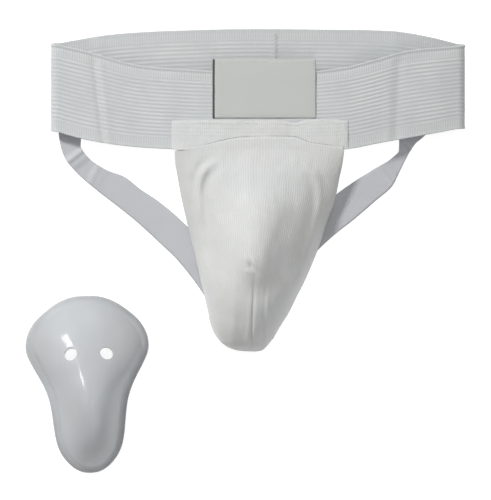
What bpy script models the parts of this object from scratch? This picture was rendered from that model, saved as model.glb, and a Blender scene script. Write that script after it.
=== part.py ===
"""Groin protector: an elastic supporter lying on its back, a hard cup in its pouch, and a bare cup beside it.

Metres, +Z up, the supporter's waist toward +Y, the flat surface it lies on at z = 0.
"""
import math

import bmesh
import bpy
import numpy as np
from mathutils import Vector

MM = 0.001
GAP = 0.3

# elastic waistband
BAND_T = 1.8
BAND_LEFT = -168.5
BAND_RIGHT = 190.0
FOLD_R = 6.2
BACK_TOP = [(-163, 180.5), (-125, 187.0), (-40, 192.2), (12, 193.0), (60, 192.6), (130, 191.0), (160, 186.0), (184, 180.0)]
BACK_LOW = [(-168, 105.0), (-100, 112.0), (-20, 117.0), (12, 118.0), (80, 117.0), (140, 112.0), (190, 106.0)]
FRONT_TOP = [(-163, 179.0), (-134, 172.0), (-99, 162.0), (-50, 157.0), (-20, 155.6), (60, 155.6), (86, 159.0),
             (110, 165.0), (134, 172.0), (184, 177.5)]
FRONT_LOW = [(-168, 105.0), (-147, 98.6), (-117, 92.7), (-60, 88.0), (-20, 87.5), (60, 87.5), (89, 88.4),
             (116, 93.5), (150, 99.5), (190, 107.0)]
FRONT_TOP_Z = 13.0
FRONT_LOW_Z = 21.0

# label, yoke
LABEL_CENTRE = (16.2, 140.3)
LABEL_SIZE = (89.0, 51.0)
LABEL_T = 0.6
YOKE_T = 1.0
YOKE_TOP = 113.5

# pouch
POUCH_T = 1.3
LINER_Z = 2.5
LINER_T = 1.0
POUCH_EDGE = [
    # y, left x, right x
    (86.8, -60.0, 84.0), (74.0, -59.3, 82.3), (66.0, -58.0, 80.6), (44.0, -54.0, 76.0), (29.0, -50.6, 70.6),
    (8.0, -45.6, 64.0), (-10.0, -41.4, 57.0), (-26.0, -37.9, 50.0), (-40.0, -34.2, 42.8), (-52.0, -31.6, 37.0),
    (-64.0, -29.0, 29.5), (-74.0, -24.5, 24.0), (-81.0, -17.5, 17.5), (-84.6, -8.0, 13.6),
]
BINDING_W = 2.6

# hard cup: half width against distance from the top edge
CUP_LENGTH = 154.0
CUP_OUTLINE = [(0.0, 9.0), (1.2, 14.0), (3.4, 20.5), (7.0, 27.5), (12.0, 34.5), (20.7, 44.4), (29.3, 50.2), (38.8, 53.4),
               (46.5, 53.6), (55.0, 50.6), (64.0, 45.9), (72.0, 41.4), (81.0, 37.2), (90.0, 34.3), (98.0, 32.8),
               (107.0, 31.7), (115.5, 30.8), (124.0, 29.5), (133.0, 27.0), (141.0, 22.4), (147.0, 17.0),
               (151.0, 11.5), (153.3, 5.5), (154.0, 0.0)]
CUP_DEPTH = [(0.0, 0.0), (6.0, 1.0), (14.0, 6.5), (24.0, 14.0), (36.0, 21.5), (50.0, 29.0), (64.0, 36.5), (78.0, 43.0),
             (92.0, 47.0), (104.0, 47.6), (116.0, 45.0), (127.0, 39.0), (136.0, 30.5), (143.0, 20.0), (148.0, 9.0),
             (150.5, 0.0)]
CUP_T = 2.3
CUP_APEX = 90.0
VENT_D = 11.2
VENT_HALF = 15.6
VENT_T = 49.0
CUP_LEAN = math.radians(3.5)
CUP_TOP = (15.0, 99.0)
CUP_Z = 3.5
BARE_TOP = (-138.8, -38.5)
BARE_LEAN = math.radians(-1.7)

# leg straps: inner and outer edges as rails
STRAP_T = 1.5
LEFT_INNER = [(-141.5, 118.0), (-141.8, 104.0), (-143.0, 91.0), (-137.0, 82.5), (-121.0, 71.0), (-104.5, 64.5),
              (-92.0, 54.7), (-76.0, 44.0), (-63.0, 33.5), (-50.0, 21.5), (-30.0, 2.0), (-12.0, -24.0), (0.0, -55.0),
              (2.6, -76.0)]
LEFT_OUTER = [(-162.5, 118.0), (-162.0, 104.0), (-160.0, 90.0), (-156.0, 80.0), (-148.0, 70.0), (-130.0, 54.0),
              (-110.0, 38.5), (-91.5, 23.3), (-75.0, 8.0), (-60.0, -6.5), (-48.0, -21.0), (-35.0, -39.5),
              (-24.0, -61.0), (-18.0, -76.0)]
RIGHT_INNER = [(133.5, 118.0), (133.2, 103.0), (133.0, 87.0), (127.0, 81.0), (109.0, 70.2), (93.0, 59.8),
               (78.0, 49.0), (62.0, 33.0), (46.0, 12.0), (30.0, -16.0), (14.0, -50.0), (3.6, -76.0)]
RIGHT_OUTER = [(158.5, 118.0), (158.0, 104.0), (146.0, 92.0), (139.0, 80.0), (134.0, 70.0), (127.0, 56.5),
               (113.5, 44.5), (95.5, 29.0), (75.5, 13.0), (60.0, -2.0), (44.0, -26.0), (24.0, -76.0)]

for old in list(bpy.data.objects):
    bpy.data.objects.remove(old, do_unlink=True)

main = bpy.data.collections.new("groin_protector")
cutters = bpy.data.collections.new("cutters")
bpy.context.scene.collection.children.link(main)
bpy.context.scene.collection.children.link(cutters)


def curve(table, at):
    """Smooth value of a (key, value) table at a key or an array of keys."""
    keys = np.array([row[0] for row in table], float)
    values = np.array([row[1] for row in table], float)
    slopes = np.gradient(values, keys)
    at = np.clip(np.asarray(at, float), keys[0], keys[-1])
    i = np.clip(np.searchsorted(keys, at) - 1, 0, len(keys) - 2)
    h = keys[i + 1] - keys[i]
    s = (at - keys[i]) / h
    secant = (values[i + 1] - values[i]) / h
    m0 = np.where(secant * slopes[i] <= 0, 0, slopes[i])
    m1 = np.where(secant * slopes[i + 1] <= 0, 0, slopes[i + 1])
    limit = 3 * np.abs(secant)
    m0 = np.clip(m0, -limit, limit)
    m1 = np.clip(m1, -limit, limit)
    a = 2 * s**3 - 3 * s**2 + 1
    b = s**3 - 2 * s**2 + s
    c = -2 * s**3 + 3 * s**2
    d = s**3 - s**2
    return a * values[i] + b * h * m0 + c * values[i + 1] + d * h * m1


def rail(points, count):
    """Evenly spaced points along a smooth line through the given points."""
    p = np.array(points, float)
    run = np.concatenate([[0], np.cumsum(np.linalg.norm(np.diff(p, axis=0), axis=1))])
    at = np.linspace(0, run[-1], count)
    return np.stack([curve(list(zip(run, p[:, k])), at) for k in range(p.shape[1])], axis=1)


def material(name, colour, roughness):
    made = bpy.data.materials.new(name)
    made.use_nodes = True
    shader = made.node_tree.nodes["Principled BSDF"]
    shader.inputs["Base Color"].default_value = (*colour, 1)
    shader.inputs["Roughness"].default_value = roughness
    return made


def add(name, verts, faces, colour, roughness):
    """One closed, outward-facing mesh object, its vertices given in millimetres."""
    mesh = bpy.data.meshes.new(name)
    mesh.from_pydata([tuple(float(c) * MM for c in v) for v in verts], [], [tuple(int(i) for i in f) for f in faces])
    work = bmesh.new()
    work.from_mesh(mesh)
    bmesh.ops.recalc_face_normals(work, faces=work.faces)
    work.to_mesh(mesh)
    work.free()
    for face in mesh.polygons:
        face.use_smooth = True
    made = bpy.data.objects.new(name, mesh)
    mesh.materials.append(material(name + "_material", colour, roughness))
    main.objects.link(made)
    return made


def slab(name, grid, thickness, colour, roughness, wrap=False):
    """A sheet of even thickness whose middle surface is the grid of points."""
    g = np.array(grid, float)
    rows, cols = g.shape[:2]
    if wrap:
        du = np.roll(g, -1, axis=1) - np.roll(g, 1, axis=1)
    else:
        du = np.gradient(g, axis=1)
    dv = np.gradient(g, axis=0)
    n = np.cross(du, dv)
    n /= np.linalg.norm(n, axis=2, keepdims=True)
    top = (g + n * thickness / 2).reshape(-1, 3)
    low = (g - n * thickness / 2).reshape(-1, 3)
    verts = np.concatenate([top, low])
    half = rows * cols
    faces = []
    last = cols if wrap else cols - 1
    for r in range(rows - 1):
        for c in range(last):
            d = (c + 1) % cols
            quad = [r * cols + c, r * cols + d, (r + 1) * cols + d, (r + 1) * cols + c]
            faces.append(quad)
            faces.append([half + i for i in reversed(quad)])
    for c in range(last):
        d = (c + 1) % cols
        faces.append([c, half + c, half + d, d])
        e, f = (rows - 1) * cols + c, (rows - 1) * cols + d
        faces.append([e, f, half + f, half + e])
    if not wrap:
        for r in range(rows - 1):
            a, b = r * cols, (r + 1) * cols
            faces.append([a, b, half + b, half + a])
            a, b = a + cols - 1, b + cols - 1
            faces.append([a, half + a, half + b, b])
    return add(name, verts, faces, colour, roughness)


def ribbon(name, line, side, width, thickness, colour, roughness, wrap=False):
    """A flat strip: middle line, the direction of its width at each point, and its size."""
    line = np.array(line, float)
    side = np.array(side, float)
    side /= np.linalg.norm(side, axis=1, keepdims=True)
    grid = np.stack([line - side * width / 2, line + side * width / 2])
    return slab(name, grid, thickness, colour, roughness, wrap)


WHITE = (0.82, 0.83, 0.83)
COTTON = (0.84, 0.84, 0.82)
THREAD = (0.88, 0.88, 0.87)


# ---- waistband: a loop of elastic whose front half dips lower than its back half
def front_z(x, v):
    """Height of the front panel's middle surface; v is 0 at its top edge and 1 at its lower edge."""
    flat = BAND_T / 2 + 2 * FOLD_R
    rise = np.clip(1 - ((np.asarray(x, float) - 11.0) / 172.0) ** 2, 0, 1) ** 1.3
    top = flat + (FRONT_TOP_Z - flat) * rise
    low = flat + (FRONT_LOW_Z - flat) * rise
    return top + (low - top) * v


def band_grid(rows, across, around):
    left = BAND_LEFT + FOLD_R + BAND_T / 2
    right = BAND_RIGHT - FOLD_R - BAND_T / 2
    columns = []
    for x in np.linspace(left, right, across):
        columns.append(("back", x, 0.0))
    for a in np.linspace(0, math.pi, around + 2)[1:-1]:
        columns.append(("right", right, a))
    for x in np.linspace(right, left, across):
        columns.append(("front", x, 0.0))
    for a in np.linspace(0, math.pi, around + 2)[1:-1]:
        columns.append(("left", left, a))
    grid = np.zeros((rows, len(columns), 3))
    for r in range(rows):
        v = r / (rows - 1)
        for c, (kind, x, a) in enumerate(columns):
            back = curve(BACK_TOP, x) * (1 - v) + curve(BACK_LOW, x) * v
            front = curve(FRONT_TOP, x) * (1 - v) + curve(FRONT_LOW, x) * v
            low = BAND_T / 2
            if kind == "back":
                grid[r, c] = (x, back, low)
            elif kind == "front":
                grid[r, c] = (x, front, front_z(x, v))
            else:
                share = (1 - math.cos(a)) / 2
                if kind == "left":
                    share = 1 - share
                high = front_z(x, v)
                y = back * (1 - share) + front * share
                z = low + (high - low) * share
                bulge = FOLD_R * math.sin(a)
                grid[r, c] = (x + (bulge if kind == "right" else -bulge), y, z)
    return grid


slab("waistband", band_grid(5, 25, 5), BAND_T, WHITE, 0.85, wrap=True)


def on_front(x, y, lift):
    """Point above the front panel's outer face."""
    top = curve(FRONT_TOP, x)
    low = curve(FRONT_LOW, x)
    v = (top - y) / (top - low)
    return np.stack([np.asarray(x, float), np.asarray(y, float), front_z(x, v) + BAND_T / 2 + lift], axis=-1)


# lapped join at the back, a zigzag's width of thread standing on the band's inner face
join_y = np.linspace(curve(BACK_TOP, 26.0) - 2.5, curve(BACK_LOW, 26.0) + 2.5, 9)
join = [(26.0, y, BAND_T + GAP + 0.25) for y in join_y]
ribbon("waistband_join_stitching", join, [(1, 0, 0)] * 9, 3.2, 0.5, THREAD, 0.7)

# label patch and the thread round it
lx, ly = LABEL_CENTRE
lw, lh = LABEL_SIZE
label_x, label_y = np.meshgrid(np.linspace(lx - lw / 2, lx + lw / 2, 9), np.linspace(ly + lh / 2, ly - lh / 2, 6))
label_low = np.maximum(label_y, YOKE_TOP + 1.2)
slab("label_patch", on_front(label_x, label_low, GAP + LABEL_T / 2), LABEL_T, (0.58, 0.6, 0.57), 0.6)


def frame_loop(name, x0, x1, y0, y1, lift, width, thickness, colour):
    """A closed flat frame of thread that follows the front panel."""
    xs = np.linspace(x0, x1, 9)
    ys = np.linspace(y0, y1, 6)
    path = [(x, y0) for x in xs[:-1]] + [(x1, y) for y in ys[:-1]]
    path += [(x, y1) for x in xs[:0:-1]] + [(x0, y) for y in ys[:0:-1]]
    centre = np.array([(x0 + x1) / 2, (y0 + y1) / 2])
    outer = np.array(path, float)
    shrink = np.array([1 - width / (x1 - x0) * 2, 1 - width / (y1 - y0) * 2])
    inner = centre + (outer - centre) * shrink
    grid = np.stack([on_front(outer[:, 0], outer[:, 1], lift), on_front(inner[:, 0], inner[:, 1], lift)])
    return slab(name, grid, thickness, colour, 0.7, wrap=True)


frame_loop("label_stitching", lx - lw / 2 + 1.5, lx + lw / 2 - 1.5, YOKE_TOP + 2.8, ly + lh / 2 - 1.5,
           GAP * 2 + LABEL_T + 0.2, 0.9, 0.4, THREAD)


# ---- yoke: cotton facing on the band's lower front
def arch_y(x):
    """Height of the arched seam across the yoke."""
    return 87.9 + 11.3 * np.clip(1 - ((np.asarray(x, float) - 16.5) / 76.0) ** 2, 0, 1) ** 0.75


yoke_x, yoke_v = np.meshgrid(np.linspace(-63.0, 88.0, 15), np.linspace(0, 1, 4))
yoke_y = YOKE_TOP * (1 - yoke_v) + (curve(FRONT_LOW, yoke_x) + 0.2) * yoke_v
slab("pouch_yoke", on_front(yoke_x, yoke_y, GAP + YOKE_T / 2), YOKE_T, COTTON, 0.9)
yoke_lift = GAP * 2 + YOKE_T + 0.25
line_x = np.linspace(-61.0, 86.0, 15)
ribbon("yoke_top_stitching", on_front(line_x, np.full(15, YOKE_TOP - 2.0), yoke_lift), [(0, 1, 0)] * 15,
       0.9, 0.5, THREAD, 0.7)
arch_x = np.linspace(-58.0, 82.0, 25)
arch = on_front(arch_x, arch_y(arch_x) + 1.2, yoke_lift)
arch_side = np.gradient(arch, axis=0)[:, [1, 0, 2]] * np.array([-1, 1, 0])
ribbon("yoke_arch_stitching", arch, arch_side, 1.1, 0.5, THREAD, 0.7)


# ---- hard cup
def cup_height(s, t):
    """Height of the bowl's outer face over the flange at a place across (s) and along (t) the cup."""
    half = np.maximum(curve(CUP_OUTLINE, t) - 5.5, 0.1)
    deep = np.maximum(curve(CUP_DEPTH, t), 0)
    share = np.clip(np.abs(s) / half, 0, 1)
    low_part = np.clip((np.asarray(t, float) - 50) / 50, 0, 1)
    power = 2.0 + 0.2 * low_part
    root = 0.78 - 0.08 * low_part
    return deep * (1 - share**power) ** root


def cup_to_row(points, top, lean, base):
    """Cup coordinates (across, along from the top, up) to the row frame."""
    p = np.array(points, float)
    x = top[0] + p[:, 0] * math.cos(lean) - p[:, 1] * math.sin(lean)
    y = top[1] - p[:, 1] * math.cos(lean) - p[:, 0] * math.sin(lean)
    return np.stack([x, y, p[:, 2] + base], axis=1)


def cup_body(name, top, lean, base):
    around, rings = 52, 9
    left = [(-w, t) for t, w in CUP_OUTLINE]
    right = [(w, t) for t, w in reversed(CUP_OUTLINE[:-1])]
    loop = np.array([*left, *right, (-CUP_OUTLINE[0][1], 0.0)], float)
    run = np.concatenate([[0], np.cumsum(np.linalg.norm(np.diff(loop, axis=0), axis=1))])
    at = np.linspace(0, run[-1], around, endpoint=False)
    edge = np.stack([np.interp(at, run, loop[:, k]) for k in (0, 1)], axis=1)
    along = np.roll(edge, -1, axis=0) - np.roll(edge, 1, axis=0)
    inward = np.stack([along[:, 1], -along[:, 0]], axis=1)
    inward /= np.linalg.norm(inward, axis=1, keepdims=True)
    centre = np.array([0.0, CUP_APEX])
    inward *= np.sign(((centre - edge) * inward).sum(axis=1, keepdims=True))
    rim = 7.0 - 2.0 * np.clip((edge[:, 1] - 50) / 40, 0, 1)
    foot = edge + inward * rim[:, None]
    outer, inner = [], []
    for q in np.linspace(0, 1, rings)[1:]:
        share = 1 - (1 - q) ** 1.5
        ring = centre + (foot - centre) * share
        scale = (1 - share**4) if q < 1 else 0.0
        height = cup_height(ring[:, 0], ring[:, 1]) * (1 - 0.12 * (1 - scale)) * (q < 1)
        outer.append(np.column_stack([ring, height + CUP_T]))
    outer.append(np.column_stack([edge, np.full(around, CUP_T)]))
    top_point = float(cup_height(0.0, CUP_APEX)) + CUP_T
    hollow = centre + (foot - centre) * 0.93
    for k, ring in enumerate(outer[:-1]):
        flat = centre + (ring[:, :2] - centre) * 0.94
        inner.append(np.column_stack([flat, np.maximum(ring[:, 2] - CUP_T * 1.06, 0.0) if k < rings - 2 else hollow[:, 0] * 0]))
    inner.append(np.column_stack([edge, np.zeros(around)]))
    verts = [(0.0, CUP_APEX, top_point)] + [tuple(p) for ring in outer for p in ring]
    count = len(verts)
    verts += [(0.0, CUP_APEX, top_point - CUP_T)] + [tuple(p) for ring in inner for p in ring]
    faces = []
    for base_index in (0, count):
        for c in range(around):
            faces.append([base_index, base_index + 1 + c, base_index + 1 + (c + 1) % around])
        for r in range(len(outer) - 1):
            for c in range(around):
                a = base_index + 1 + r * around
                d = (c + 1) % around
                faces.append([a + c, a + around + c, a + around + d, a + d])
    a = 1 + (len(outer) - 1) * around
    for c in range(around):
        d = (c + 1) % around
        faces.append([a + c, count + a + c, count + a + d, a + d])
    placed = cup_to_row(verts, top, lean, base)
    made = add(name, placed, faces, (0.72, 0.75, 0.78), 0.25)
    for sign in (-1, 1):
        s = sign * VENT_HALF
        z = float(cup_height(s, VENT_T)) + CUP_T
        ds = float(cup_height(s + 1, VENT_T) - cup_height(s - 1, VENT_T)) / 2
        dt = float(cup_height(s, VENT_T + 1) - cup_height(s, VENT_T - 1)) / 2
        normal = np.array([-ds, -dt, 1.0])
        normal /= np.linalg.norm(normal)
        mid = np.array([s, VENT_T, z - 1.0])
        ends = cup_to_row([mid - normal * 7, mid + normal * 7], top, lean, base)
        axis = Vector(ends[1] - ends[0]).normalized()
        cut = bmesh.new()
        bmesh.ops.create_cone(cut, cap_ends=True, segments=20, radius1=VENT_D / 2 * MM, radius2=VENT_D / 2 * MM,
                              depth=14 * MM)
        mesh = bpy.data.meshes.new(f"{name}_vent_cutter")
        cut.to_mesh(mesh)
        cut.free()
        cutter = bpy.data.objects.new(f"{name}_vent_cutter_{'left' if s < 0 else 'right'}", mesh)
        cutter.rotation_mode = "QUATERNION"
        cutter.rotation_quaternion = Vector((0, 0, 1)).rotation_difference(axis)
        cutter.location = Vector((ends[0] + ends[1]) / 2) * MM
        cutter.hide_render = True
        cutter.display_type = "WIRE"
        cutters.objects.link(cutter)
        cutting = made.modifiers.new("vent", "BOOLEAN")
        cutting.object = cutter
        cutting.operation = "DIFFERENCE"
        cutting.solver = "EXACT"
    return made


cup_body("cup", CUP_TOP, CUP_LEAN, CUP_Z)
cup_body("bare_cup", BARE_TOP, BARE_LEAN, 0.0)


# ---- pouch: the knit stretched over the cup, held at the band, the side bindings and the tip
def edge_x(y):
    """Left and right edges of the pouch at a height."""
    keys = [(-row[0], row[1]) for row in POUCH_EDGE], [(-row[0], row[2]) for row in POUCH_EDGE]
    return curve(keys[0], -np.asarray(y, float)), curve(keys[1], -np.asarray(y, float))


def over_cup(x, y):
    """Height that the cup in the pocket takes up at a place, in the row frame."""
    dx, dy = x - CUP_TOP[0], y - CUP_TOP[1]
    s = dx * math.cos(CUP_LEAN) - dy * math.sin(CUP_LEAN)
    t = -dx * math.sin(CUP_LEAN) - dy * math.cos(CUP_LEAN)
    inside = np.abs(s) <= curve(CUP_OUTLINE, t)
    high = CUP_Z + CUP_T + cup_height(s, t) + POUCH_T / 2 + 1.4
    return np.where(inside & (t > 0) & (t < CUP_LENGTH), high, 0.0)


ROWS, COLS = 26, 23
POUCH_HIGH, POUCH_TIP = 86.8, -84.4
pouch_y = POUCH_HIGH + (POUCH_TIP - POUCH_HIGH) * np.linspace(0, 1, ROWS) ** 0.96
pouch_u = np.sin(np.linspace(-math.pi / 2, math.pi / 2, COLS)) * 0.35 + np.linspace(-1, 1, COLS) * 0.65
left_x, right_x = edge_x(pouch_y)
pouch_x = (left_x + right_x)[:, None] / 2 + (right_x - left_x)[:, None] / 2 * pouch_u[None, :]
pouch_yy = np.repeat(pouch_y[:, None], COLS, axis=1)
EDGE_Z = LINER_Z + LINER_T / 2 + GAP + POUCH_T / 2 + 0.3
nose = curve([(-86.8, 0.0), (-20.0, 0.0), (6.0, 30.0), (26.0, 37.0), (44.0, 35.0), (58.0, 29.0), (70.0, 21.5),
              (78.0, 14.0), (82.5, 7.0), (84.4, 0.0)], -pouch_yy)
nose = nose * np.clip(1 - np.abs(pouch_u)[None, :] ** 2.3, 0, 1) ** 0.62
held = np.maximum(over_cup(pouch_x, pouch_yy), nose + EDGE_Z)
pouch_z = np.maximum(held, EDGE_Z)
band_edge = front_z(pouch_x[0], 1.0) + 0.2
fall = np.clip((POUCH_HIGH - pouch_y) / 26.0, 0, 1)
side_z = band_edge[0] * (1 - fall) ** 1.6 + EDGE_Z * (1 - (1 - fall) ** 1.6)
pouch_z[0] = band_edge
pouch_z[:, 0] = side_z
pouch_z[:, -1] = side_z
pouch_z[-1] = EDGE_Z
for step in range(900):
    middle = (pouch_z[:-2, 1:-1] + pouch_z[2:, 1:-1] + pouch_z[1:-1, :-2] + pouch_z[1:-1, 2:]) / 4
    pouch_z[1:-1, 1:-1] = np.maximum(middle, held[1:-1, 1:-1])
slab("pouch_front", np.stack([pouch_x, pouch_yy, pouch_z], axis=2), POUCH_T, COTTON, 0.9)


def pouch_height(px, py):
    r = np.interp(-py, -pouch_y, np.arange(ROWS))
    k = min(int(r), ROWS - 2)
    z = [np.interp(px, pouch_x[j], pouch_z[j]) for j in (k, k + 1)]
    return z[0] + (z[1] - z[0]) * (r - k)


def on_pouch(x, y, lift):
    """Points off the pouch's middle surface, along its normal."""
    out = []
    for px, py in zip(x, y):
        slope_x = (pouch_height(px + 1, py) - pouch_height(px - 1, py)) / 2
        slope_y = (pouch_height(px, py + 1) - pouch_height(px, py - 1)) / 2
        normal = np.array([-slope_x, -slope_y, 1.0])
        out.append(np.array([px, py, pouch_height(px, py)]) + normal / np.linalg.norm(normal) * lift)
    return np.array(out)


# dart seam at the lower centre
dart_y = np.linspace(-16.0, -79.0, 18)
dart_x = 4.6 + 3.4 * (dart_y + 82) / 66
dart = on_pouch(dart_x, dart_y, POUCH_T / 2 + 1.15)
ribbon("pouch_dart_seam", dart, [(1, 0, 0)] * 18, 1.4, 0.6, THREAD, 0.8)

# liner behind the cup, its upper edge free so that the cup can go in
liner_y = np.linspace(80.0, -78.0, 14)
liner_l, liner_r = edge_x(liner_y)
liner_u = np.linspace(-1, 1, 7)
liner_x = (liner_l + liner_r)[:, None] / 2 + ((liner_r - liner_l)[:, None] / 2 - 1.0) * liner_u[None, :]
liner_yy = np.repeat(liner_y[:, None], 7, axis=1)
slab("pouch_liner", np.stack([liner_x, liner_yy, np.full(liner_x.shape, LINER_Z)], axis=2), LINER_T, COTTON, 0.9)
mouth_x = np.linspace(liner_x[0, 0] + 1, liner_x[0, -1] - 1, 11)
ribbon("pocket_mouth_binding", [(x, 80.0 + GAP + 1.6, LINER_Z) for x in mouth_x], [(0, 1, 0)] * 11, 3.2, 1.0,
       THREAD, 0.8)

# rolled bindings along the pouch's sides
for side, sign, x_edge in (("left", -1, left_x), ("right", 1, right_x)):
    rows = slice(2, ROWS - 1)
    base = np.column_stack([x_edge[rows], pouch_y[rows], side_z[rows]])
    tangent = np.gradient(base, axis=0)
    out = np.cross(tangent, (0, 0, 1)) * (1 if sign < 0 else -1)
    out /= np.linalg.norm(out, axis=1, keepdims=True)
    if out[0, 0] * sign < 0:
        out = -out
    line = base + out * (BINDING_W / 2 + GAP + 0.6)
    ribbon(f"pouch_binding_{side}", line, out, BINDING_W, 2.4, COTTON, 0.85)


# ---- leg straps, flat under the band and the pouch
def strap(name, inner, outer):
    a, b = rail(inner, 27), rail(outer, 27)
    grid = np.stack([a, (a + b) / 2, b])
    z = np.full(grid.shape[:2], 0.0)
    share = np.linspace(0, 1, 27)
    z += np.where(grid[:, :, 1] > 96, BAND_T + GAP + STRAP_T / 2 + 0.2, STRAP_T / 2)
    z = np.array([np.convolve(np.pad(row, 2, mode="edge"), np.ones(5) / 5, "valid") for row in z])
    z = np.where(grid[:, :, 1] > 99, np.maximum(z, BAND_T + GAP + STRAP_T / 2 + 0.2), z)
    z = np.where(share[None, :] > 0.6, STRAP_T / 2, z)
    slab(name, np.concatenate([grid, z[:, :, None]], axis=2), STRAP_T, (0.74, 0.74, 0.79), 0.6)


strap("leg_strap_left", LEFT_INNER, LEFT_OUTER)
strap("leg_strap_right", RIGHT_INNER, RIGHT_OUTER)

# bar tacks: a short block of dense thread at each strap end
STRAP_TOP = BAND_T + GAP + STRAP_T + 0.2
for side, x0, x1 in (("left", -160.0, -144.0), ("right", 136.0, 156.0)):
    xs = np.linspace(x0, x1, 4)
    ribbon(f"band_tack_{side}", [(x, 113.0, STRAP_TOP + GAP + 0.3) for x in xs], [(0, 1, 0)] * 4, 3.0, 0.6, THREAD, 0.7)
for side, x0, x1 in (("left", -15.5, 0.5), ("right", 5.8, 21.5)):
    xs = np.linspace(x0, x1, 4)
    ribbon(f"tip_tack_{side}", [(x, -71.0, STRAP_T + GAP * 0.35 + 0.12) for x in xs], [(0, 1, 0)] * 4, 3.0, 0.2,
           THREAD, 0.7)
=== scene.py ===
"""Groin protector laid flat: elastic supporter with a cup in its pouch, and a bare cup beside it."""
import math

import bmesh
import bpy
import numpy as np
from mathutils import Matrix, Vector, noise


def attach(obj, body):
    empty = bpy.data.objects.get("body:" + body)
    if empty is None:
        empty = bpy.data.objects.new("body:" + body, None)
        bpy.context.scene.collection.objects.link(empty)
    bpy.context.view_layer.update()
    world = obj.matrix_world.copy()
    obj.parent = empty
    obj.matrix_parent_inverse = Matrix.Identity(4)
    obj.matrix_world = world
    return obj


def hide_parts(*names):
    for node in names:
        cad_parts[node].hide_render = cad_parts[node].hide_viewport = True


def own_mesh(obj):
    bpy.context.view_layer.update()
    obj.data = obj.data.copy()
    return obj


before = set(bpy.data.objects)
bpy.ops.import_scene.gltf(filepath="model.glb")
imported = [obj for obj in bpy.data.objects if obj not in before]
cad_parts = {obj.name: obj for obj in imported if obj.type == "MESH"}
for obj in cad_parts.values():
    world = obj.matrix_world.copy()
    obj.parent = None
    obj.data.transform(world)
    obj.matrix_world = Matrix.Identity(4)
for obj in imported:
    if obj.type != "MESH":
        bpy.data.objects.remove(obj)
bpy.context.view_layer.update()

MM = 0.001

# ---------------------------------------------------------------- sizes, in millimetres
BAND_T, BAND_HEIGHT = 1.8, 76.0
BAND_LEFT, BAND_RIGHT = -168.5, 190.0
FOLD_R = 6.2
BACK_TOP = [(-163, 180.5), (-125, 187.0), (-40, 192.2), (12, 193.0), (60, 192.6), (130, 191.0), (160, 186.0),
            (184, 180.0)]
BACK_LOW = [(-168, 105.0), (-100, 112.0), (-20, 117.0), (12, 118.0), (80, 117.0), (140, 112.0), (190, 106.0)]
FRONT_TOP = [(-163, 179.0), (-134, 172.0), (-99, 162.0), (-50, 157.0), (-20, 155.6), (60, 155.6), (86, 159.0),
             (110, 165.0), (134, 172.0), (184, 177.5)]
FRONT_LOW = [(-168, 105.0), (-147, 98.6), (-117, 92.7), (-60, 88.0), (-20, 87.5), (60, 87.5), (89, 88.4),
             (116, 93.5), (150, 99.5), (190, 107.0)]
FRONT_TOP_Z, FRONT_LOW_Z = 13.0, 21.0
LABEL_CENTRE, LABEL_SIZE = (16.2, 140.3), (89.0, 51.0)
YOKE_TOP = 113.5
POUCH_T = 1.3
RIB_PITCH, RIB_START = 3.55, 10.5
POUCH_EDGE = [
    (86.8, -60.0, 84.0), (74.0, -59.3, 82.3), (66.0, -58.0, 80.6), (44.0, -54.0, 76.0),
    (29.0, -50.6, 70.6), (8.0, -45.6, 64.0), (-10.0, -41.4, 57.0), (-26.0, -37.9, 50.0),
    (-40.0, -34.2, 42.8), (-52.0, -31.6, 37.0), (-64.0, -29.0, 29.5), (-74.0, -24.0, 23.5),
    (-80.0, -18.0, 19.0), (-83.4, -11.5, 15.8), (-85.2, -4.5, 13.0), (-86.0, 1.5, 10.0),
]
EDGE_Z = 4.25
CUP_LENGTH = 154.0
CUP_OUTLINE = [(0.0, 9.0), (1.2, 14.0), (3.4, 20.5), (7.0, 27.5), (12.0, 34.5), (20.7, 44.4), (29.3, 50.2),
               (38.8, 53.4), (46.5, 53.6), (55.0, 50.6), (64.0, 45.9), (72.0, 41.4), (81.0, 37.2),
               (90.0, 34.3), (98.0, 32.8),
               (107.0, 31.7), (115.5, 30.8), (124.0, 29.5), (133.0, 27.0), (141.0, 22.4), (147.0, 17.0),
               (151.0, 11.5), (153.3, 5.5), (154.0, 0.0)]
CUP_DEPTH = [(0.0, 0.0), (6.0, 1.0), (14.0, 6.5), (24.0, 14.0), (36.0, 21.5), (50.0, 29.0), (64.0, 36.5),
             (78.0, 43.0), (92.0, 47.0), (104.0, 47.6), (116.0, 45.0), (127.0, 39.0), (136.0, 30.5),
             (143.0, 20.0), (148.0, 9.0), (150.5, 0.0)]
CUP_T, CUP_APEX, RIM_HIGH = 2.3, 90.0, 5.4
VENT_D, VENT_HALF, VENT_T = 11.2, 15.6, 49.0
CUP_LEAN, CUP_TOP, CUP_Z = math.radians(3.5), (15.0, 99.0), 3.5
BARE_LEAN, BARE_TOP = math.radians(-1.7), (-138.8, -38.5)
STRAP_T = 1.5
LEFT_INNER = [(-141.5, 118.0), (-141.8, 104.0), (-143.0, 91.0), (-137.0, 82.5), (-121.0, 71.0),
              (-104.5, 64.5), (-92.0, 54.7), (-76.0, 44.0), (-63.0, 33.5), (-50.0, 21.5), (-30.0, 2.0),
              (-12.0, -24.0), (0.0, -55.0), (2.6, -76.0)]
LEFT_OUTER = [(-162.5, 118.0), (-162.0, 104.0), (-160.0, 90.0), (-156.0, 80.0), (-148.0, 70.0),
              (-130.0, 54.0), (-110.0, 38.5), (-91.5, 23.3), (-75.0, 8.0), (-60.0, -6.5), (-48.0, -21.0),
              (-35.0, -39.5), (-24.0, -61.0), (-18.0, -76.0)]
RIGHT_INNER = [(133.5, 118.0), (133.2, 103.0), (133.0, 87.0), (127.0, 81.0), (109.0, 70.2), (93.0, 59.8),
               (78.0, 49.0), (62.0, 33.0), (46.0, 12.0), (30.0, -16.0), (14.0, -50.0), (3.6, -76.0)]
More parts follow.
